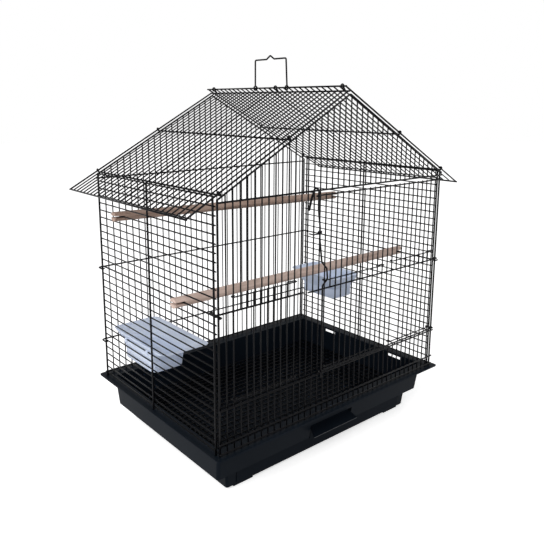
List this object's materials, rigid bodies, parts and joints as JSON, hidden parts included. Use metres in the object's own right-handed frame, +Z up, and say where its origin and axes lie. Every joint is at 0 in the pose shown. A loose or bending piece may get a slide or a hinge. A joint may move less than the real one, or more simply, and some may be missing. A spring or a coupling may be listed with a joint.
{
  "type": "bird cage",
  "caption": "House-shaped wire bird cage on a plastic base, with hinged front door, sliding feeder doors, perches, hanging cups, floor grate, pull-out drawer and folding handle.",
  "frame": {"origin": "on the floor under the middle of the wire body", "axes": "+Z up, -Y towards the front with the large door, +X to the right seen from the front"},
  "size_m": [0.5988, 0.374, 0.6587],
  "materials": {
    "wire": "satin black powder coat",
    "tray": "moulded, semi-gloss",
    "wood": "bare turned dowel",
    "cup": "translucent white"
  },
  "bodies": {
    "base": {"base_tub": "tray"},
    "litter_drawer": {"drawer": "tray"},
    "grate": {"floor_grate": "wire"},
    "cage": {"front_panel": "wire", "back_panel": "wire", "left_panel": "wire", "right_panel": "wire", "roof_left": "wire", "roof_right": "wire"},
    "large_door": {"main_door": "wire"},
    "latch": {"door_latch": "wire"},
    "clip": {"latch_clip": "wire"},
    "left_feeder_door": {"feeder_door_left": "wire"},
    "middle_feeder_door": {"feeder_door_middle": "wire"},
    "right_feeder_door": {"feeder_door_right": "wire"},
    "low_perch": {"perch_lower": "wood"},
    "high_perch": {"perch_upper": "wood"},
    "left_cup": {"cup_left": "cup"},
    "right_cup": {"cup_right": "cup"},
    "carrying_handle": {"handle": "wire"}
  },
  "joints": [
    {"name": "drawer_slide", "type": "slide", "parent": "base", "child": "litter_drawer", "axis": [0, -1, 0], "range_m": [0, 0.24]},
    {"name": "grate_lift", "type": "slide", "parent": "base", "child": "grate", "axis": [0, 0, 1], "range_m": [0, 0.06]},
    {"name": "cage_lift", "type": "slide", "parent": "base", "child": "cage", "axis": [0, 0, 1], "range_m": [0, 0.1]},
    {"name": "door_swing", "type": "hinge", "parent": "cage", "child": "large_door", "pos_m": [0.24765, -0.1759, 0.294], "axis": [0, 0, 1], "range_deg": [0, 110]},
    {"name": "latch_lift", "type": "slide", "parent": "large_door", "child": "latch", "axis": [0, 0, 1], "range_m": [0, 0.007]},
    {"name": "clip_turn", "type": "hinge", "parent": "latch", "child": "clip", "pos_m": [-0.0626, -0.18242, 0.386], "axis": [0, 0, 1], "range_deg": [0, 100]},
    {"name": "left_feeder_slide", "type": "slide", "parent": "cage", "child": "left_feeder_door", "axis": [0, 0, 1], "range_m": [0, 0.115]},
    {"name": "middle_feeder_slide", "type": "slide", "parent": "large_door", "child": "middle_feeder_door", "axis": [0, 0, 1], "range_m": [0, 0.115]},
    {"name": "right_feeder_slide", "type": "slide", "parent": "large_door", "child": "right_feeder_door", "axis": [0, 0, 1], "range_m": [0, 0.115]},
    {"name": "low_perch_shift", "type": "slide", "parent": "cage", "child": "low_perch", "axis": [0, 1, 0], "range_m": [-0.065, 0.065]},
    {"name": "high_perch_shift", "type": "slide", "parent": "cage", "child": "high_perch", "axis": [0, 1, 0], "range_m": [-0.07, 0.06]},
    {"name": "left_cup_lift", "type": "slide", "parent": "cage", "child": "left_cup", "axis": [0, 0, 1], "range_m": [0, 0.008]},
    {"name": "right_cup_lift", "type": "slide", "parent": "cage", "child": "right_cup", "axis": [0, 0, 1], "range_m": [0, 0.008]},
    {"name": "handle_fold", "type": "hinge", "parent": "cage", "child": "carrying_handle", "pos_m": [-0.0102, 0, 0.60359], "axis": [0, 1, 0], "range_deg": [-110, 110]}
  ]
}
